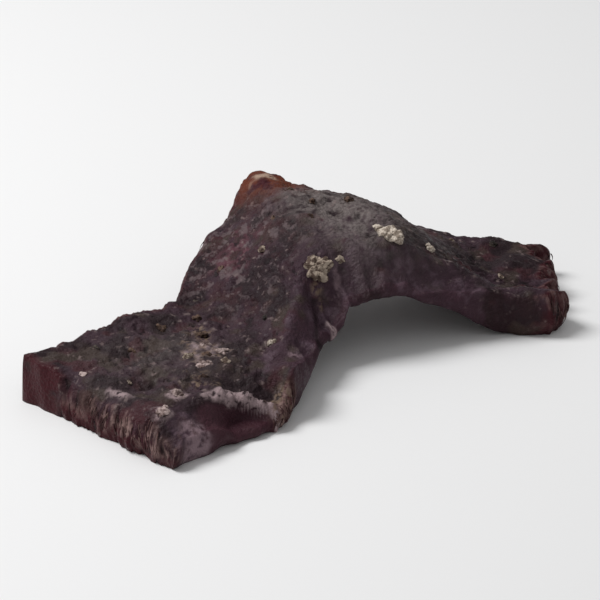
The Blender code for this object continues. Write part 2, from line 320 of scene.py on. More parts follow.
def inset(a, c, squareness):
    """How far the rim stands in, in millimetres, at a distance a along it: rounded and rough."""
    rounding = RIM_ROUNDING * (1.0 - squareness) * (2.0 * c - 1.0) ** 2
    rough = SIDE_ROUGHNESS * noise.noise(Vector((a / SIDE_GRAIN, SIDE_LEVEL, c)))
    return rounding + rough


def ends(s, v, c):
    """Where s comes to lie once both ends are shaped: a leaning cut and a ragged tear."""
    lean = CUT_LEAN_AT_CORNERS + (CUT_LEAN - CUT_LEAN_AT_CORNERS) * (1.0 - v * v)
    along = s + lean * c * (1.0 - smooth(s / LEAN_RUN))
    along += inset(HALF_WIDTH * v, c, square(s, v)) * (1.0 - smooth(s / CUT_BAND))
    ragged = 0.6 + noise.noise(Vector((TORN_LOBES * v, 0.4 * c, TORN_LEVEL)))
    ragged += TORN_TEETH_SHARE * noise.noise(Vector((TORN_TEETH * v, 0.4 * c, TEETH_LEVEL)))
    torn = inset(HALF_WIDTH * v + LENGTH, c, 0.0) + TORN_DEPTH * ragged
    return along - torn * smooth((s - LENGTH) / TORN_BAND + 1.0)


def point(s, v, c):
    """The slice's point (s, v, c), in millimetres from the middle of its box."""
    along = ends(s, v, c)
    front = on_edge(FRONT_EDGE, along)
    back = on_edge(BACK_EDGE, along)
    inward = (back - front).normalized() * towards_rim(abs(v), SIDE_FROM)
    place = front.lerp(back, 0.5 * (v + 1.0))
    side = math.copysign(1.0, v)
    place -= inward * side * inset(s + 2.0 * LENGTH * side, c, square(s, v))
    z = underside(s, v) + c * thickness(place, s, v)
    return Vector((place.x, place.y, z)) - MIDDLE


# Fine relief, in millimetres: what the coarse solid leaves out
FLAKE_SIZE = 1.6
FLAKE_HEIGHT = 0.44
CHIP_SIZE = 0.75
CHIP_HEIGHT = 0.22
FLAKE_BASE = 0.4
FLAKE_GAP = 0.16
WANDER = 0.7
WANDER_SIZE = 1.8
DRY_SIZE = 6.5
WRINKLE_SIZE = 2.8
WRINKLE_HEIGHT = 0.17
CRUMBLE_SIZE = 0.9
CRUMBLE_HEIGHT = 0.24
UNDER_GAP = 0.12
BUNDLE_WIDTH = 1.1
BUNDLE_LENGTH = 5.0
BUNDLE_HEIGHT = 0.42
FIBRE_WIDTH = 0.42
FIBRE_LENGTH = 2.5
FIBRE_HEIGHT = 0.34
FIBRE_LEAN = -0.12
LIP_HEIGHT = 0.55
LIP_PLACE = 12.6
LIP_REACH = 4.4
LIP_FORWARD = 0.035
LIP_WIDTH = 0.055
KNOB_SIZE = 1.1
KNOB_HEIGHT = 1.7
FLAKE_SEED = 3

noise.seed_set(FLAKE_SEED)

# The slope up to the bend, where the top is driest
SLOPE_START = 24.0
SLOPE_END = 47.0
SLOPE_EDGE = 6.0
SLOPE_FROM = -0.6
SLOPE_FADE = 0.5

# Walls at the rims: how wide they are, where their fibres stand open, and the facet that is cut clean
WALL_BAND = 0.7
END_BAND = 2.0
CORNER_BAND = 1.6
UNDER_BAND = 0.06
FACET_FROM = 0.45
FACET_FADE = 0.1
FRONT_OPEN = 0.15
BACK_OPEN = 0.1
BACK_OPEN_SIZE = 4.5
TUFTS_PLACE = 17.2
TUFTS_OPEN_REACH = 2.6
TUFTS_REACH = 3.0

# Patches at the front rim, each by its strength, its place and reach along, and its start and edge
CORNER_ROLL = (1.0, 3.4, 3.4, 0.68, 0.14)
CLOSED_WALL = (0.9, 3.4, 3.0, 0.74, 0.12)
PALE_TIP = (1.1, 37.5, 1.1, 0.89, 0.06)
OLIVE_TUFTS = (1.0, 17.0, 2.4, 0.82, 0.1)
FROSTED_ROLL = (1.2, 3.9, 1.7, 0.78, 0.12)
# Painted shade: the front rim of the far limb is darkened as if it lay in shadow.
PAINTED_SHADE_RIM = (0.6, 54.0, 7.0, 0.86, 0.1)


def flaked(spot, size):
    """A dry crazed skin: domed flakes at different heights, from 0 in the cracks to 1."""
    distances, places = noise.voronoi(spot / size)
    dome = 1.0 - distances[0] ** 2
    crack = smooth((distances[1] - distances[0]) / FLAKE_GAP)
    return crack * dome * (0.65 + 0.35 * noise.cell(places[0] * 3.7))


def slope_at(s, v):
    """1 on the slope up to the bend, 0 elsewhere."""
    along = smooth((s - SLOPE_START) / SLOPE_EDGE) * smooth((SLOPE_END - s) / SLOPE_EDGE)
    return along * smooth((v - SLOPE_FROM) / SLOPE_FADE)


def skin(spot, slope):
    """Height of the top's fine relief at a spot in millimetres."""
    bent = spot + WANDER * noise.noise_vector(spot / WANDER_SIZE)
    dry = smooth(0.5 + 1.1 * noise.noise(spot / DRY_SIZE + Vector((0.0, 0.0, 4.4))))
    dry = max(dry, 0.8 * slope)
    height = FLAKE_HEIGHT * (0.2 + 0.8 * dry) * (flaked(bent, FLAKE_SIZE) - FLAKE_BASE)
    height += CHIP_HEIGHT * (0.3 + 0.7 * dry) * (flaked(bent, CHIP_SIZE) - FLAKE_BASE)
    ridge = 1.0 - 2.2 * abs(noise.noise(spot / WRINKLE_SIZE + Vector((3.0, 0.0, 0.0))))
    crumbly = noise.fractal(spot / CRUMBLE_SIZE, 1.0, 2.1, 3)
    return height + WRINKLE_HEIGHT * ridge + CRUMBLE_HEIGHT * (0.25 + 0.9 * dry) * crumbly


def fibres(a, depth):
    """Height of the open fibres on a cut or torn wall, a along it and depth down it, in mm."""
    lean = a + FIBRE_LEAN * depth
    coarse = noise.noise(Vector((lean / BUNDLE_WIDTH, depth / BUNDLE_LENGTH, 2.2)))
    fine = noise.noise(Vector((lean / FIBRE_WIDTH, depth / FIBRE_LENGTH, 6.1)))
    return BUNDLE_HEIGHT * coarse + FIBRE_HEIGHT * fine


def rim_patch(s, v, shape):
    """A soft patch at the front rim."""
    strength, along, reach, start, edge = shape
    return strength * bump(s, along, reach) * smooth((-v - start) / edge)


def facet_at(s, v, run):
    """1 on the clean facet at the back of the cut end, 0 elsewhere."""
    return smooth((v - FACET_FROM) / FACET_FADE) * (1.0 - smooth(s / run))


def opened(s, v):
    """How far the fibres stand open on the wall at a rim: 1 at the cut, little along the front."""
    at_ends = max(1.0 - smooth(s / END_BAND), smooth((s - LENGTH) / END_BAND + 1.0))
    if v < 0.0:
        along = FRONT_OPEN + 1.1 * bump(s, TUFTS_PLACE, TUFTS_OPEN_REACH)
    else:
        wave = noise.noise(Vector((s / BACK_OPEN_SIZE, 0.0, 12.0)))
        along = BACK_OPEN + 0.8 * smooth(0.5 + 1.9 * wave)
    closed = (1.0 - 0.9 * facet_at(s, v, END_BAND)) * (1.0 - rim_patch(s, v, CLOSED_WALL))
    return max(at_ends, along) * closed


# Mesh of the slice. Rows of cells stand closer towards the front rim, where the relief is finest
CELLS_ALONG = 318
CELLS_ACROSS = 116
LAYERS = 20
FRONT_CROWDING = 0.12

bpy.ops.object.select_all(action="DESELECT")
bpy.ops.mesh.primitive_grid_add(x_subdivisions=CELLS_ALONG, y_subdivisions=CELLS_ACROSS, size=2.0)
slice_ = bpy.context.object
slice_.name = "dried_slice"
bpy.ops.object.mode_set(mode="EDIT")
bpy.ops.mesh.select_all(action="SELECT")
bpy.ops.transform.translate(value=(1.0, 0.0, 0.0))
bpy.ops.mesh.extrude_region_move(TRANSFORM_OT_translate={"value": (0.0, 0.0, 1.0)})
bpy.ops.mesh.select_all(action="DESELECT")
bpy.ops.mesh.select_mode(type="EDGE")
bpy.ops.object.mode_set(mode="OBJECT")
corners = slice_.data.vertices
for edge in slice_.data.edges:
    low, high = edge.vertices
    edge.select = abs(corners[low].co.z - corners[high].co.z) > 0.5
bpy.ops.object.mode_set(mode="EDIT")
bpy.ops.mesh.subdivide(number_cuts=LAYERS - 1)
bpy.ops.mesh.select_all(action="SELECT")
bpy.ops.mesh.normals_make_consistent(inside=False)
bpy.ops.mesh.select_mode(type="VERT")
bpy.ops.object.mode_set(mode="OBJECT")

mesh = slice_.data
flat = []
for vert in mesh.vertices:
    v = vert.co.y + FRONT_CROWDING * (vert.co.y ** 2 - 1.0)
    flat.append((0.5 * LENGTH * vert.co.x, v, vert.co.z))
for vert, (s, v, c) in zip(mesh.vertices, flat):
    vert.co = point(s, v, c)
mesh.update()
facing = [vert.normal.copy() for vert in mesh.vertices]

# Patches of colour on the top, each by its strength, and its place and reach along and across
PALE_SPOTS = (
    (0.45, 16.8, 3.0, -0.04, 0.24), (1.0, 6.0, 1.4, -0.50, 0.08), (1.0, 1.6, 1.3, -0.68, 0.10),
    (0.7, 1.9, 0.9, -0.11, 0.16),
)
# The peak's pale edge is a painted glow of light shining through the thin curled corner.
PEAK_GLOW_EDGE = (1.0, 48.0, 2.8, 0.83, 0.085)
ROSY_PATCH = (1.0, 35.3, 4.0, 0.42, 0.25)
LILAC_PATCHES = ((0.9, 22.5, 4.0, -0.65, 0.3), (1.0, 43.0, 4.0, -0.8, 0.25))
OLIVE_STAINS = (
    (0.8, 20.0, 1.8, 0.26, 0.14), (0.55, 10.5, 3.0, -0.4, 0.2), (0.7, 38.0, 2.0, -0.7, 0.12),
    (0.75, 17.0, 3.2, 0.0, 0.24),
)
FROSTED_PATCHES = ((0.9, 24.4, 1.8, -0.84, 0.13), (0.7, 45.0, 2.0, -0.85, 0.12))
DIM_PATCH = (1.0, 33.0, 4.2, -0.14, 0.24)
# The grey dust patches are partly a painted sheen: on the crest they stand in for the light its top
# reflects.
DUST_AND_SHEEN_PATCHES = ((0.28, 12.0, 9.0, 0.15, 0.5), (1.3, 54.5, 9.0, 0.15, 0.75))

# The curled corner's amber, a painted glow of light through it; the lilac front; and painted shade in
# the crease beside the tip and in the pit
GLOW_PLACE = 47.8
GLOW_REACH = 5.0
GLOW_FROM = 0.12
LILAC_START = 19.0
LILAC_RUN = 5.0
LILAC_END = 76.0
LILAC_FADE = 6.0
LILAC_FROM = 0.3
DARK_CREASE_PLACE = 35.0
DARK_CREASE_REACH = 1.2
DARK_CREASE_SKEW = 23.0
DARK_CREASE_FROM = 0.6
DARK_PIT_PLACE = (5.9, -0.13)
DARK_PIT_REACH = (1.1, 0.12)
DARK_PIT_SKEW = 3.0
SATIN_FROM = 0.5
SATIN_FADE = 0.2

# How much calmer the fine relief is in the notch, underneath, on the curl, the roll and the satin front
NOTCH_CALM = 0.85
UNDER_CALM = 0.75
CURL_CALM = 0.5
SMOOTH_CALM = 0.8

# The cut wall: how far it reaches in, its crust at the top, and its streaks further down
CUT_REACH = 3.0
FACET_REACH = 1.5
CRUST_SHARE = 0.65
CRUST_FROM = 0.35
CRUST_FADE = 0.4
STREAKS_FROM = 0.05
STREAKS_RUN = 0.45
STREAKS_END = 0.6
STREAKS_FADE = 0.3


def ragged(x, spot):
    """An amount from 0 to 1 with its outline broken up."""
    return smooth(x * 1.6 - 0.3 + 0.9 * noise.noise(spot / 1.4) * min(x * 4.0, 1.0))


def patch(s, v, shape):
    """A soft patch on the top."""
    strength, along, along_reach, across, across_reach = shape
    return strength * bump(s, along, along_reach) * bump(v, across, across_reach)


def strongest(s, v, shapes):
    """The strongest of several patches."""
    return max(patch(s, v, shape) for shape in shapes)


def corner_roll(s, v):
    """1 on the front corner of the cut end, where the rim is rolled smooth, 0 elsewhere."""
    return rim_patch(s, v, CORNER_ROLL)


def lip_at(s, v):
    """1 on the thin lip above the torn notch, 0 elsewhere."""
    return bump(s, LIP_PLACE, LIP_REACH) * bump(-v, tear_line(s) + LIP_FORWARD, LIP_WIDTH)


def satin_at(s, v):
    """1 on the smooth rolled front of the bend, 0 elsewhere."""
    return rolled(s) * smooth((-v - SATIN_FROM) / SATIN_FADE)


def marks_at(s, v, spot):
    """How pale, rosy, amber and dark the surface is at a place, each from 0 to 1: the pale holds a
    painted highlight on the lip and a painted glow on the peak's edge, and the amber a painted glow of
    light through the curled corner.
    """
    notch = tear(s, v)
    # A painted highlight along the top of the lip above the notch.
    lip = 1.8 * lip_at(s, v) * (1.0 - smooth((notch - 0.3) / 0.9))
    spots_and_lip_highlight = ragged(max(lip, rim_patch(s, v, PALE_TIP), strongest(s, v, PALE_SPOTS)), spot)
    peak_glow = ragged(patch(s, v, PEAK_GLOW_EDGE), spot)
    rosy = ragged(patch(s, v, ROSY_PATCH), spot)
    # Painted glow of light shining through the thin curled corner.
    backlit_glow = smooth(1.6 * bump(s, GLOW_PLACE, GLOW_REACH) * towards_rim(v, GLOW_FROM))
    return max(spots_and_lip_highlight, peak_glow), rosy, backlit_glow, smooth((notch - 0.1) / 0.9)


def shades_at(s, v, spot):
    """How lilac, olive, satin and sloping the surface is at a place, each from 0 to 1."""
    front = smooth((s - LILAC_START) / LILAC_RUN) * smooth((LILAC_END - s) / LILAC_FADE)
    front *= 0.85 * towards_rim(-v, LILAC_FROM)
    lilac = max(front, strongest(s, v, LILAC_PATCHES), corner_roll(s, v))
    olive = max(rim_patch(s, v, OLIVE_TUFTS), strongest(s, v, OLIVE_STAINS))
    return ragged(lilac, spot), ragged(olive, spot), satin_at(s, v), slope_at(s, v)


def folds_at(s, v, spot):
    """How frosted, dim and creased the surface is at a place, each from 0 to 1: the dim is painted
    shade along the far front rim and a darker slope, and the crease is painted shade in the crease and
    the pit.
    """
    frosted = max(rim_patch(s, v, FROSTED_ROLL), strongest(s, v, FROSTED_PATCHES))
    dim_and_shade = max(patch(s, v, DIM_PATCH), rim_patch(s, v, PAINTED_SHADE_RIM))
    # Painted shade in the crease beside the tip and in the pit by the cut end.
    askew = s - DARK_CREASE_SKEW * min(v + 0.8, 0.0)
    crease_shade = bump(askew, DARK_CREASE_PLACE, DARK_CREASE_REACH) * towards_rim(-v, DARK_CREASE_FROM)
    along = s - DARK_PIT_SKEW * (v - DARK_PIT_PLACE[1])
    pit = bump(along, DARK_PIT_PLACE[0], DARK_PIT_REACH[0])
    pit = smooth(1.5 * pit * bump(v, DARK_PIT_PLACE[1], DARK_PIT_REACH[1]))
    return ragged(frosted, spot), ragged(dim_and_shade, spot), max(crease_shade, 0.9 * pit)


def frayed_at(s, v, c, free):
    """How streaked with pale fibres a wall is at a place, from 0 to 1."""
    at_cut = 1.0 - smooth(s / CUT_REACH)
    amount = 0.5 + 0.5 * bump(s, TUFTS_PLACE, TUFTS_REACH)
    amount += at_cut * (0.9 * smooth((0.3 - v) / 0.8) - 0.1)
    low = STREAKS_FROM * at_cut - 0.1 * (1.0 - at_cut)
    amount *= smooth((c - low) / (0.8 + (STREAKS_RUN - 0.8) * at_cut))
    amount *= 1.0 - 0.5 * at_cut * smooth((c - STREAKS_END) / STREAKS_FADE)
    return amount * max(free - 0.15, 0.0)


for name in ("zones", "marks", "shades", "folds"):
    mesh.attributes.new(name, "FLOAT_COLOR", "POINT")
mesh.attributes.new("strands", "FLOAT_VECTOR", "POINT")
zones = mesh.attributes["zones"]
marks = mesh.attributes["marks"]
shades = mesh.attributes["shades"]
folds = mesh.attributes["folds"]
strands = mesh.attributes["strands"]
for vert, (s, v, c), way in zip(mesh.vertices, flat, facing):
    spot = vert.co.copy()
    from_end = min(s, LENGTH - s)
    from_side = HALF_WIDTH * (1.0 - abs(v))
    from_rim = min(from_end, from_side)
    wall = 1.0 - smooth(from_rim / WALL_BAND)
    a = HALF_WIDTH * v if from_end < from_side else s
    depth = THICKNESS * c
    under = 1.0 - smooth(c / UNDER_BAND) if from_rim > 0.0 else 0.0
    seen = 1.0 - under
    free = opened(s, v)
    corner = smooth(max(from_end, from_side) / CORNER_BAND)

    calm = (1.0 - NOTCH_CALM * smooth(tear(s, v) / 1.5)) * (1.0 - UNDER_CALM * under)
    calm *= 1.0 - CURL_CALM * smooth(2.0 * lobe(s, v))
    calm *= (1.0 - SMOOTH_CALM * corner_roll(s, v)) * (1.0 - SMOOTH_CALM * satin_at(s, v))
    rough = (1.0 - wall) * (skin(spot, slope_at(s, v)) * calm - UNDER_GAP * under)
    rough += wall * fibres(a, depth) * free * (0.3 + 0.7 * corner)
    knobs = 1.0 + KNOB_HEIGHT * noise.noise(spot / KNOB_SIZE)
    rough += LIP_HEIGHT * knobs * lip_at(s, v) * seen
    vert.co = spot + way * rough
    if c < 0.5:
        vert.co.z = max(vert.co.z, 0.0)

    facet = facet_at(s, v, FACET_REACH)
    crusted = CRUST_SHARE * smooth((c - CRUST_FROM) / CRUST_FADE) * (1.0 - smooth(s / CUT_REACH))
    crusted *= 1.0 - facet
    red = max(facet, 0.6 * under, 0.95 * wall * min(free, 1.0) * (1.0 - crusted))
    # Dust on the top and underneath, and on the crest a painted sheen of reflected light.
    dust_and_sheen = sum(patch(s, v, shape) for shape in DUST_AND_SHEEN_PATCHES)
    dust_and_sheen = min(dust_and_sheen, 1.0) * (1.0 - wall) * seen + 0.2 * under
    frayed = max(wall * frayed_at(s, v, c, free), 0.2 * corner_roll(s, v))
    # How raised the fine relief is: its low parts take painted shade in the cracks, its high parts a
    # painted highlight on the flecks.
    raised = min(max(0.5 + rough / 0.7, 0.0), 1.0)
    zones.data[vert.index].color = (red, dust_and_sheen, frayed, raised)
    marks.data[vert.index].color = [seen * amount for amount in marks_at(s, v, spot)]
    shades.data[vert.index].color = [seen * amount for amount in shades_at(s, v, spot)]
    folds.data[vert.index].color = (*[seen * amount for amount in folds_at(s, v, spot)], 1.0)
    strands.data[vert.index].vector = (a + FIBRE_LEAN * depth, depth, HALF_WIDTH * v)
for vert in mesh.vertices:
    vert.co *= MM
mesh.update()
mesh.shade_smooth()


def new_finish(name):
    """A material with its node tree and shader."""
    material = bpy.data.materials.new(name)
    material.use_nodes = True
    return material, material.node_tree, material.node_tree.nodes["Principled BSDF"]


def in_millimetres(tree):
    """Places on the piece itself, in millimetres, for patterns of a real size."""
    place = tree.nodes.new("ShaderNodeTexCoord")
    scaled = tree.nodes.new("ShaderNodeMapping")
    scaled.inputs["Scale"].default_value = (1.0 / MM,) * 3
    tree.links.new(place.outputs["Object"], scaled.inputs["Vector"])
    return scaled.outputs["Vector"]


def ranged(tree, value, low, high):
    """0 where the value is low, 1 where it is high."""
    spread = tree.nodes.new("ShaderNodeMapRange")
    spread.interpolation_type = "SMOOTHSTEP"
    spread.inputs["From Min"].default_value = low
    spread.inputs["From Max"].default_value = high
    tree.links.new(value, spread.inputs["Value"])
    return spread.outputs["Result"]


def mottle(tree, place, size, low, high, detail=3.0):
    """Noise with spots of a size in millimetres, spread from 0 to 1."""
    pattern = tree.nodes.new("ShaderNodeTexNoise")
    pattern.inputs["Scale"].default_value = 1.0 / size
    pattern.inputs["Detail"].default_value = detail
    tree.links.new(place, pattern.inputs["Vector"])
    return ranged(tree, pattern.outputs["Fac"], low, high)


def stretched(tree, place, sizes):
    """The same places, scaled apart so that a pattern comes out long one way."""
    scaled = tree.nodes.new("ShaderNodeMapping")
    scaled.inputs["Scale"].default_value = [1.0 / size for size in sizes]
    tree.links.new(place, scaled.inputs["Vector"])
    return scaled.outputs["Vector"]


def times(tree, one, other):
    """The product of two amounts."""
    product = tree.nodes.new("ShaderNodeMath")
    product.operation = "MULTIPLY"
    for number, value in enumerate((one, other)):
        if isinstance(value, float):
            product.inputs[number].default_value = value
        else:
            tree.links.new(value, product.inputs[number])
    return product.outputs["Value"]


def tinted(tree, under, over, amount):
    """One colour laid over another by an amount from 0 to 1."""
    mix = tree.nodes.new("ShaderNodeMix")
    mix.data_type = "RGBA"
    tree.links.new(amount, mix.inputs["Factor"])
    for socket, colour in ((mix.inputs[6], under), (mix.inputs[7], over)):
        if isinstance(colour, tuple):
            socket.default_value = (*colour, 1.0)
        else:
            tree.links.new(colour, socket)
    return mix.outputs[2]


def valued(tree, under, over, amount):
    """One number laid over another by an amount from 0 to 1."""
    mix = tree.nodes.new("ShaderNodeMix")
    tree.links.new(amount, mix.inputs["Factor"])
    for socket, value in ((mix.inputs[2], under), (mix.inputs[3], over)):
        if isinstance(value, float):
            socket.default_value = value
        else:
            tree.links.new(value, socket)
    return mix.outputs[0]


def painted(tree, name):
    """The four amounts stored on the mesh under a name."""
    stored = tree.nodes.new("ShaderNodeAttribute")
    stored.attribute_name = name
    parted = tree.nodes.new("ShaderNodeSeparateColor")
    tree.links.new(stored.outputs["Color"], parted.inputs["Color"])
    return (*parted.outputs, stored.outputs["Alpha"])


# Colours of the meat, from its lean to the dust, scuffs and open fibres on it; the grey also paints a
# sheen, the amber and rim colours a glow of light through the thin corner, the pale colour a highlight
# on the lip, the crack colour shade, and the fleck colour partly a highlight
LEAN = (0.020, 0.011, 0.0135)
PLUM = (0.040, 0.021, 0.029)
WINE = (0.046, 0.016, 0.020)
OLIVE = (0.043, 0.029, 0.025)
GREY_DUST_AND_SHEEN = (0.158, 0.132, 0.127)
MAROON = (0.047, 0.0085, 0.012)
ROSE = (0.090, 0.035, 0.046)
LILAC = (0.050, 0.026, 0.037)
BLOOM = (0.090, 0.056, 0.074)
TUFT = (0.165, 0.114, 0.084)
BACKLIT_AMBER_GLOW = (0.110, 0.027, 0.013)
PALE_AND_HIGHLIGHT = (0.300, 0.222, 0.230)
BACKLIT_RIM_GLOW = (0.350, 0.240, 0.180)
HOLLOW = (0.054, 0.020, 0.028)
CREVICE_SHADE = (0.009, 0.005, 0.006)
FLECK_AND_HIGHLIGHT = (0.190, 0.140, 0.135)
STRAND = (0.235, 0.150, 0.138)
FROST = (0.210, 0.143, 0.162)
SCUFF = (0.125, 0.092, 0.096)

# Patterns on the meat, each by its size in millimetres, the levels it spreads between, and its detail
PLUM_CLOUDS = (6.5, 0.44, 0.58, 1.5)
WINE_CLOUDS = (5.0, 0.54, 0.66, 2.0)
OLIVE_CLOUDS = (4.6, 0.52, 0.66, 2.5)
SLOPE_CLOUDS = (2.2, 0.40, 0.62)
BLOOM_CLOUDS = (2.0, 0.48, 0.66)
DUST_AND_SHEEN_CLOUDS = (1.6, 0.25, 0.55)
DUST_AND_SHEEN_SPECKS = (0.5, 0.35, 0.6)
ROSE_SPOTS = (1.4, 0.4, 0.6)
MAROON_CLOUDS = (3.0, 0.2, 0.45)
TUFT_SPOTS = (0.8, 0.42, 0.6)
FLECK_SPOTS = (1.1, 0.58, 0.70)
SCUFF_SPOTS = (1.7, 0.55, 0.65)
STREAK_LINES = (0.9, 0.38, 0.62, 1.5)
STREAK_CLOUDS = (2.6, 0.38, 0.54)
FROST_SPOTS = (1.1, 0.32, 0.58)
CURL_CLOUDS = (2.6, 0.36, 0.54)
PALE_SPECKS = (0.9, 0.32, 0.52)
SHEEN_SPECKS = (0.6, 0.35, 0.65)
MEAT_GRAIN = (0.45, 0.3, 0.7, 4.0)
STREAK_STRETCH = (0.8, 3.0, 3.0)

# How strongly each tint lies on the meat, and the heights at which the painted shade in the cracks and
# the flecks, with their painted highlight, begin and end
SLOPE_WINE = 0.65
FRONT_TINT = 0.85
DIM_AND_SHADE_TINT = 0.85
LEAST_DUST_AND_SHEEN = 0.6
CRACK_SHADE_TINT = 0.75
CRACK_LEVELS = (0.42, 0.16)
FLECK_AND_HIGHLIGHT_TINT = 0.65
FLECK_LEVELS = (0.45, 0.72)
SCUFF_TINT = 0.7
HOLLOW_TINT = 0.85
CREASE_SHADE_TINT = 0.8

# Sheen: dull where it is dry, with a low gloss on lean cut meat, in the notch and on the satin front
GLOSSY = 0.38
DULL = 0.72
CUT_SHEEN = 0.38
NOTCH_SHEEN = 0.36
NOTCH_SHEEN_SHARE = 0.7
SATIN_SHEEN = 0.40
SATIN_SHEEN_SHARE = 0.8
MEAT_SPECULAR = 0.11
MEAT_GRAIN_STRENGTH = 0.8
MEAT_GRAIN_DEPTH = 0.12

beef, tree, shader = new_finish("dried_beef")
place = in_millimetres(tree)
red, dust_and_sheen, frayed, raised = painted(tree, "zones")
pale_and_painted_light, rosy, backlit_glow, dark = painted(tree, "marks")
lilac, olive, satin, slope = painted(tree, "shades")
frosted, dim_and_shade, crease_shade = painted(tree, "folds")[:3]
strand = tree.nodes.new("ShaderNodeAttribute")
strand.attribute_name = "strands"
along_strand = stretched(tree, strand.outputs["Vector"], STREAK_STRETCH)

colour = tinted(tree, LEAN, PLUM, mottle(tree, place, *PLUM_CLOUDS))
colour = tinted(tree, colour, WINE, mottle(tree, place, *WINE_CLOUDS))
colour = tinted(tree, colour, OLIVE, mottle(tree, place, *OLIVE_CLOUDS))
slope_wine = times(tree, slope, mottle(tree, place, *SLOPE_CLOUDS))
colour = tinted(tree, colour, WINE, times(tree, slope_wine, SLOPE_WINE))
front_colour = tinted(tree, LILAC, BLOOM, mottle(tree, place, *BLOOM_CLOUDS))
colour = tinted(tree, colour, front_colour, times(tree, lilac, FRONT_TINT))
# Painted shade along the far front rim, and a darker slope.
colour = tinted(tree, colour, LEAN, times(tree, dim_and_shade, DIM_AND_SHADE_TINT))
# Grey dust, with a painted sheen on the crest.
dust_and_sheen_amount = times(tree, dust_and_sheen, mottle(tree, place, *DUST_AND_SHEEN_CLOUDS))
specks = mottle(tree, place, *DUST_AND_SHEEN_SPECKS)
dust_and_sheen_amount = times(tree, dust_and_sheen_amount, valued(tree, LEAST_DUST_AND_SHEEN, 1.0, specks))
colour = tinted(tree, colour, GREY_DUST_AND_SHEEN, dust_and_sheen_amount)
colour = tinted(tree, colour, ROSE, times(tree, rosy, mottle(tree, place, *ROSE_SPOTS)))
colour = tinted(tree, colour, MAROON, times(tree, red, mottle(tree, place, *MAROON_CLOUDS)))
colour = tinted(tree, colour, TUFT, times(tree, olive, mottle(tree, place, *TUFT_SPOTS)))
# Painted shade in the cracks between the flakes.
crack_shade = times(tree, ranged(tree, raised, *CRACK_LEVELS), CRACK_SHADE_TINT)
colour = tinted(tree, colour, CREVICE_SHADE, crack_shade)
# Pale flecks on the raised flakes, which also paint a highlight on their tops.
high = ranged(tree, raised, *FLECK_LEVELS)
flecks_and_highlight = times(tree, mottle(tree, place, *FLECK_SPOTS), high)
colour = tinted(tree, colour, FLECK_AND_HIGHLIGHT, times(tree, flecks_and_highlight, FLECK_AND_HIGHLIGHT_TINT))
scuffs = times(tree, slope, mottle(tree, place, *SCUFF_SPOTS))
colour = tinted(tree, colour, SCUFF, times(tree, scuffs, SCUFF_TINT))
streaks = times(tree, frayed, mottle(tree, along_strand, *STREAK_LINES))
streaks = times(tree, streaks, mottle(tree, place, *STREAK_CLOUDS))
colour = tinted(tree, colour, STRAND, streaks)
colour = tinted(tree, colour, HOLLOW, times(tree, dark, HOLLOW_TINT))
colour = tinted(tree, colour, FROST, times(tree, frosted, mottle(tree, place, *FROST_SPOTS)))
# Painted shade in the crease beside the tip and in the pit.
colour = tinted(tree, colour, CREVICE_SHADE, times(tree, crease_shade, CREASE_SHADE_TINT))
# Painted glow of light shining through the thin curled corner, and its pale edge.
curl_glow_colour = tinted(tree, MAROON, BACKLIT_AMBER_GLOW, mottle(tree, place, *CURL_CLOUDS))
colour = tinted(tree, colour, curl_glow_colour, backlit_glow)
# Pale spots, a painted highlight along the lip, and the painted glow on the peak's edge.
pale_highlight_and_glow_colour = tinted(tree, PALE_AND_HIGHLIGHT, BACKLIT_RIM_GLOW, backlit_glow)
colour = tinted(tree, colour, pale_highlight_and_glow_colour, times(tree, pale_and_painted_light, mottle(tree, place, *PALE_SPECKS)))
tree.links.new(colour, shader.inputs["Base Color"])

roughness = valued(tree, GLOSSY, DULL, mottle(tree, place, *SHEEN_SPECKS))
roughness = valued(tree, roughness, CUT_SHEEN, red)
roughness = valued(tree, roughness, NOTCH_SHEEN, times(tree, dark, NOTCH_SHEEN_SHARE))
roughness = valued(tree, roughness, SATIN_SHEEN, times(tree, satin, SATIN_SHEEN_SHARE))
tree.links.new(roughness, shader.inputs["Roughness"])
shader.inputs["Specular IOR Level"].default_value = MEAT_SPECULAR

grain = tree.nodes.new("ShaderNodeBump")
grain.inputs["Strength"].default_value = MEAT_GRAIN_STRENGTH
grain.inputs["Distance"].default_value = MEAT_GRAIN_DEPTH * MM
tree.links.new(mottle(tree, place, *MEAT_GRAIN), grain.inputs["Height"])
tree.links.new(grain.outputs["Normal"], shader.inputs["Normal"])

mesh.materials.clear()
mesh.materials.append(beef)
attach(slice_, "root")
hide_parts("jerky_strip")

# Loose fibres. Thin bundles of muscle that the knife and the tearing left free at the rims, dried
# on where they lie; each is one tapered strand that follows the wall below its root.

# How many strands, and the stretch along the rim, across, and through the thickness of their roots
STRAND_ROWS = (
    (52, (0.0, 0.2), (-0.80, -0.1), (0.35, 1.0)),
    (22, (0.0, 0.2), (-0.1, 0.42), (0.35, 1.0)),
    (46, (15.2, 20.0), (-1.0, -1.0), (0.45, 1.0)),
    (70, (79.8, 80.0), (-0.95, 0.95), (0.35, 1.0)),
    (70, (3.0, 77.0), (1.0, 1.0), (0.45, 1.0)),
)
STRAND_FALL = (0.18, 0.5)
STRAND_LEAN = -0.12
STRAND_RADIUS = (0.08, 0.17)
STRAND_LIFT = (0.10, 0.22)
STRAND_SIDES = 5
STRAND_TIP = 0.15
STRAND_SWAY = 0.25
STRAND_RINGS = 5
STRAND_SEED = 5
INWARD = 3.0
STRAND_DARK = (0.045, 0.018, 0.019)
STRAND_LIGHT = (0.135, 0.080, 0.073)
STRAND_CLOUDS = (1.6, 0.42, 0.66)
STRAND_ROUGHNESS = 0.6
STRAND_SPECULAR = 0.12

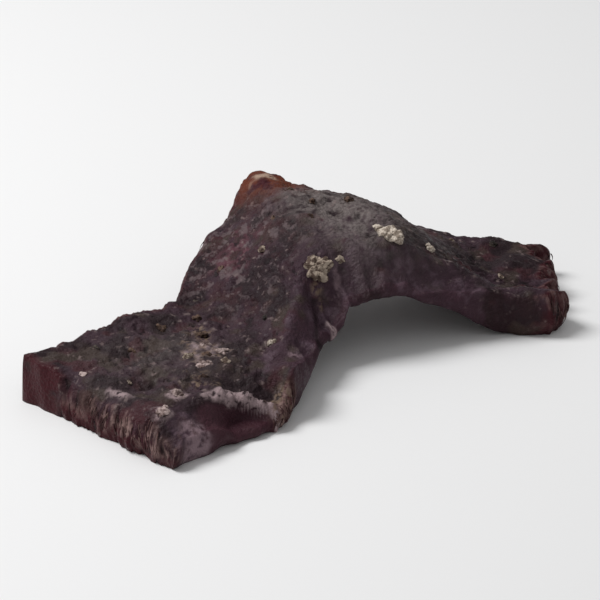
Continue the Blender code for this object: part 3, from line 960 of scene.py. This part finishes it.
bpy.ops.object.select_all(action="DESELECT")
bpy.ops.mesh.primitive_cone_add(
    vertices=STRAND_SIDES, radius1=1.0, radius2=STRAND_TIP, depth=1.0, location=(0.0, 0.0, 0.5))
pattern = bpy.context.object
bpy.ops.object.transform_apply(location=True)
heights = [vert.co.z for vert in pattern.data.vertices]
bpy.ops.object.mode_set(mode="EDIT")
bpy.ops.mesh.select_all(action="DESELECT")
bpy.ops.mesh.select_mode(type="EDGE")
bpy.ops.object.mode_set(mode="OBJECT")
for edge in pattern.data.edges:
    low, high = edge.vertices
    edge.select = abs(heights[low] - heights[high]) > 0.5
bpy.ops.object.mode_set(mode="EDIT")
bpy.ops.mesh.subdivide(number_cuts=STRAND_RINGS - 2)
bpy.ops.mesh.select_mode(type="VERT")
bpy.ops.object.mode_set(mode="OBJECT")


def outward(s, v, c):
    """The way out of the wall at a place on the rim."""
    inside = point(min(max(s, INWARD), LENGTH - INWARD), v * 0.8, c)
    way = point(s, v, c) - inside
    return Vector((way.x, way.y, 0.0)).normalized()


def add_strands(name, seed):
    """All the loose fibres as one piece."""
    dice = random.Random(seed)
    made = []
    for count, along, across, through in STRAND_ROWS:
        for strand_number in range(count):
            s, v, c = (dice.uniform(*stretch) for stretch in (along, across, through))
            fall = min(dice.uniform(*STRAND_FALL), c - 0.05)
            lean = dice.gauss(STRAND_LEAN, STRAND_SWAY) * fall * THICKNESS
            thick = dice.uniform(*STRAND_RADIUS)
            lift = dice.uniform(*STRAND_LIFT)
            at_end = min(s, LENGTH - s) < 0.5
            strand = pattern.copy()
            strand.data = pattern.data.copy()
            bpy.context.collection.objects.link(strand)
            for vert in strand.data.vertices:
                far = vert.co.z
                s_far = s if at_end else s + lean * far
                v_far = v + lean * far / HALF_WIDTH if at_end else v
                c_far = c - fall * far
                out = outward(s_far, v_far, c_far)
                middle = point(s_far, v_far, c_far) + out * lift * (0.2 + math.sin(2.6 * far))
                side = out.cross(Vector((0.0, 0.0, 1.0)))
                vert.co = MM * (middle + thick * (vert.co.x * side + vert.co.y * out))
            strand.data.shade_smooth()
            made.append(strand)
    bpy.ops.object.select_all(action="DESELECT")
    for strand in made:
        strand.select_set(True)
    bpy.context.view_layer.objects.active = made[0]
    bpy.ops.object.join()
    made[0].name = name
    bpy.ops.object.mode_set(mode="EDIT")
    bpy.ops.mesh.select_all(action="SELECT")
    bpy.ops.mesh.normals_make_consistent(inside=False)
    bpy.ops.object.mode_set(mode="OBJECT")
    return made[0]


loose = add_strands("loose_fibres", STRAND_SEED)
bpy.data.objects.remove(pattern, do_unlink=True)
fibre, tree, shader = new_finish("fibre")
place = in_millimetres(tree)
shade = mottle(tree, place, *STRAND_CLOUDS)
tree.links.new(tinted(tree, STRAND_DARK, STRAND_LIGHT, shade), shader.inputs["Base Color"])
shader.inputs["Roughness"].default_value = STRAND_ROUGHNESS
shader.inputs["Specular IOR Level"].default_value = STRAND_SPECULAR
loose.data.materials.clear()
loose.data.materials.append(fibre)
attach(loose, "root")

# Spice crumbs. Crushed dried garlic, toasted coriander, chilli flakes and black pepper from the
# cure, stuck to the top when the meat was wet and dried on with it.

# Each by its place along and across the slice, and its radius in millimetres
GARLIC, CORIANDER, CHILLI, PEPPER, ONION = range(5)
LARGE_CRUMBS = (
    (39.4, -0.66, 1.80, CORIANDER), (60.9, -0.53, 1.70, GARLIC), (59.2, -0.36, 0.80, GARLIC),
    (20.2, 0.25, 0.80, CHILLI), (18.2, 0.08, 1.00, ONION), (18.8, -0.12, 0.90, ONION),
    (16.3, -0.07, 0.75, CHILLI), (14.5, 0.03, 0.80, CORIANDER), (14.1, -0.20, 0.95, ONION),
    (16.6, -0.30, 0.75, CORIANDER), (11.8, -0.38, 0.60, CHILLI), (24.4, -0.48, 0.68, GARLIC),
    (48.0, -0.73, 0.70, CORIANDER), (6.2, -0.50, 0.95, ONION), (1.7, -0.69, 1.00, ONION),
    (2.0, 0.40, 0.65, ONION), (23.5, 0.55, 0.70, CHILLI), (66.2, -0.44, 0.75, GARLIC),
)
SMALL_KINDS = (PEPPER, CHILLI, CORIANDER, CHILLI)
SMALL_CRUMBS = 16
SMALL_RADIUS = (0.50, 0.72)
SPACING = 5.0
MARGIN = (4.0, 0.72)
SPREAD_SEED = 11
CRUMB_SEED = 30

# Each crumb is one main grain with chips round it, all broken along flat faces
CRUMB_RISE = 0.15
BIG_RADIUS = 1.1
BIG_PARTS = 9
PARTS = 4
MAIN_SHARE = 0.85
MAIN_REACH = 0.1
MAIN_LIFT = -0.1
CHIP_SHARE = (0.32, 0.58)
CHIP_REACH = (0.40, 0.72)
CHIP_LIFT = (-0.3, 0.1)
CHIP_SWAY = 0.3
BREAKS = 8
BREAK_DEPTH = 0.68
BREAK_EDGE = 0.5
GRAIN_LIMIT = 1.2
GRIT = 0.2
GRIT_SIZE = 2.2
GRAIN_SHAPE = (1.2, 0.9, 0.8)
BREAK_ANGLE = math.radians(18.0)
CRUMB_CLOUDS = (0.8, 0.42, 0.58)
CRUMB_SPECULAR = 0.15
CRUMB_GRAIN = (0.25, 0.3, 0.7)
CRUMB_GRAIN_DEPTH = 0.08


def top_normal(s, v):
    """The direction that the top faces at a place."""
    along = point(s + 0.5, v, 1.0) - point(s - 0.5, v, 1.0)
    over = point(s, v + 0.03, 1.0) - point(s, v - 0.03, 1.0)
    return along.cross(over).normalized()


def with_small_crumbs(large):
    """The large crumbs and the seeded small ones, clear of them and of each other."""
    dice = random.Random(SPREAD_SEED)
    places = list(large)
    while len(places) < len(large) + SMALL_CRUMBS:
        s = dice.uniform(MARGIN[0], LENGTH - MARGIN[0])
        v = dice.uniform(-MARGIN[1], MARGIN[1])
        radius = dice.uniform(*SMALL_RADIUS)
        spot = point(s, v, 1.0)
        if min((spot - point(other[0], other[1], 1.0)).length for other in places) > SPACING:
            places.append((s, v, radius, SMALL_KINDS[len(places) % len(SMALL_KINDS)]))
    return places


def broken_grain(radius, fineness, dice):
    """One angular grain about the origin, in millimetres, with more faces for more fineness."""
    bpy.ops.object.select_all(action="DESELECT")
    bpy.ops.mesh.primitive_ico_sphere_add(subdivisions=fineness, radius=1.0)
    grain = bpy.context.object
    shift = Vector([dice.uniform(-50.0, 50.0) for axis in range(3)])
    breaks = [Vector([dice.gauss(0.0, 1.0) for axis in range(3)]) for cut in range(BREAKS)]
    breaks = [way.normalized() for way in breaks]
    for vert in grain.data.vertices:
        ray = vert.co.normalized()
        reach = min(BREAK_DEPTH / max(ray.dot(way), BREAK_EDGE) for way in breaks)
        grit = noise.fractal(ray * GRIT_SIZE + shift, 1.0, 2.0, 4)
        vert.co = ray * radius * (min(reach, GRAIN_LIMIT) + GRIT * grit)
    turn = Matrix.Rotation(dice.uniform(0.0, math.tau), 4, "Z")
    grain.data.transform(turn @ Matrix.Diagonal((*GRAIN_SHAPE, 1.0)))
    return grain


def add_crumbs(name, places, seed):
    """Clusters of broken grains, sunk partly into the top, joined as one piece."""
    dice = random.Random(seed)
    made = []
    for s, v, radius, kind in places:
        way = top_normal(s, v)
        stand = way.to_track_quat("Z", "Y").to_matrix().to_4x4()
        seat = Matrix.Translation(point(s, v, 1.0) + way * radius * CRUMB_RISE) @ stand
        big = radius > BIG_RADIUS
        parts = BIG_PARTS if big else PARTS
        for part in range(parts):
            main = part == 0
            share = MAIN_SHARE if main else dice.uniform(*CHIP_SHARE)
            grain = broken_grain(radius * share, 4 if main and big else 3, dice)
            reach = radius * (MAIN_REACH if main else dice.uniform(*CHIP_REACH))
            bearing = math.tau * (part + dice.uniform(-CHIP_SWAY, CHIP_SWAY)) / parts
            lift = radius * (MAIN_LIFT if main else dice.uniform(*CHIP_LIFT))
            aside = Matrix.Translation((reach * math.cos(bearing), reach * math.sin(bearing), lift))
            grain.data.transform(Matrix.Scale(MM, 4) @ seat @ aside)
            made.append(grain)
    bpy.ops.object.select_all(action="DESELECT")
    for grain in made:
        grain.select_set(True)
    bpy.context.view_layer.objects.active = made[0]
    bpy.ops.object.shade_smooth_by_angle(angle=BREAK_ANGLE)
    bpy.ops.object.join()
    made[0].name = name
    return made[0]


def crumb_finish(name, dark, light, roughness):
    """A matte grain, mottled between its dark and light colour."""
    material, tree, shader = new_finish(name)
    place = in_millimetres(tree)
    colour = tinted(tree, dark, light, mottle(tree, place, *CRUMB_CLOUDS))
    tree.links.new(colour, shader.inputs["Base Color"])
    shader.inputs["Roughness"].default_value = roughness
    shader.inputs["Specular IOR Level"].default_value = CRUMB_SPECULAR
    rough = tree.nodes.new("ShaderNodeBump")
    rough.inputs["Distance"].default_value = CRUMB_GRAIN_DEPTH * MM
    tree.links.new(mottle(tree, place, *CRUMB_GRAIN), rough.inputs["Height"])
    tree.links.new(rough.outputs["Normal"], shader.inputs["Normal"])
    return material


# Each kind's name, dark and light colour and roughness
KINDS = (
    ("crumbs_garlic", (0.25, 0.20, 0.16), (0.62, 0.54, 0.46), 0.7),
    ("crumbs_coriander", (0.100, 0.068, 0.053), (0.37, 0.30, 0.24), 0.7),
    ("crumbs_chilli", (0.040, 0.022, 0.017), (0.125, 0.078, 0.057), 0.6),
    ("crumbs_pepper", (0.016, 0.012, 0.011), (0.075, 0.058, 0.048), 0.6),
    ("crumbs_onion", (0.150, 0.102, 0.094), (0.45, 0.35, 0.33), 0.7),
)
crumbs = with_small_crumbs(LARGE_CRUMBS)
for kind, (name, dark_side, light_side, dullness) in enumerate(KINDS):
    piece = add_crumbs(name, [crumb for crumb in crumbs if crumb[3] == kind], CRUMB_SEED + kind)
    piece.data.materials.clear()
    piece.data.materials.append(crumb_finish(name, dark_side, light_side, dullness))
    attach(piece, "root")

# The table and the light. A plain white top, matte enough to show only soft shadows; one round
# softbox stands above and behind on the left, and a pale surround fills the shadows in.

TABLE_WHITE = (0.83, 0.83, 0.832, 1.0)
TABLE_SIZE = 4.0
TABLE_ROUGHNESS = 0.6
SURROUND = 0.40
SOFTBOX_PLACE = (-0.24, 0.24, 0.46)
SOFTBOX_SIZE = 0.3
SOFTBOX_POWER = 2.85
CAMERA_PLACE = (-0.243199, -0.353974, 0.200)
CAMERA_AIM = Vector((-0.001, -0.001, 0.0065))
CAMERA_LENS = 200.0

bpy.ops.object.select_all(action="DESELECT")
bpy.ops.mesh.primitive_plane_add(size=TABLE_SIZE, location=(0.0, 0.0, 0.0))
table = bpy.context.object
table.name = "table"
white, tree, shader = new_finish("table_white")
shader.inputs["Base Color"].default_value = TABLE_WHITE
shader.inputs["Roughness"].default_value = TABLE_ROUGHNESS
table.data.materials.append(white)

world = bpy.data.worlds.new("studio")
world.use_nodes = True
background = world.node_tree.nodes["Background"]
background.inputs["Color"].default_value = (1.0, 1.0, 1.0, 1.0)
background.inputs["Strength"].default_value = SURROUND
bpy.context.scene.world = world

bpy.ops.object.light_add(type="AREA", location=SOFTBOX_PLACE)
lamp = bpy.context.object
lamp.name = "softbox"
lamp.data.shape = "DISK"
lamp.data.size = SOFTBOX_SIZE
lamp.data.energy = SOFTBOX_POWER
lamp.rotation_euler = (-lamp.location).to_track_quat("-Z", "Y").to_euler()

bpy.ops.object.camera_add(location=CAMERA_PLACE)
camera = bpy.context.object
camera.name = "camera"
camera.rotation_euler = (CAMERA_AIM - camera.location).to_track_quat("-Z", "Y").to_euler()
camera.data.lens = CAMERA_LENS
camera.data.sensor_width = 36.0
bpy.context.scene.camera = camera
bpy.context.scene.view_settings.view_transform = "Standard"
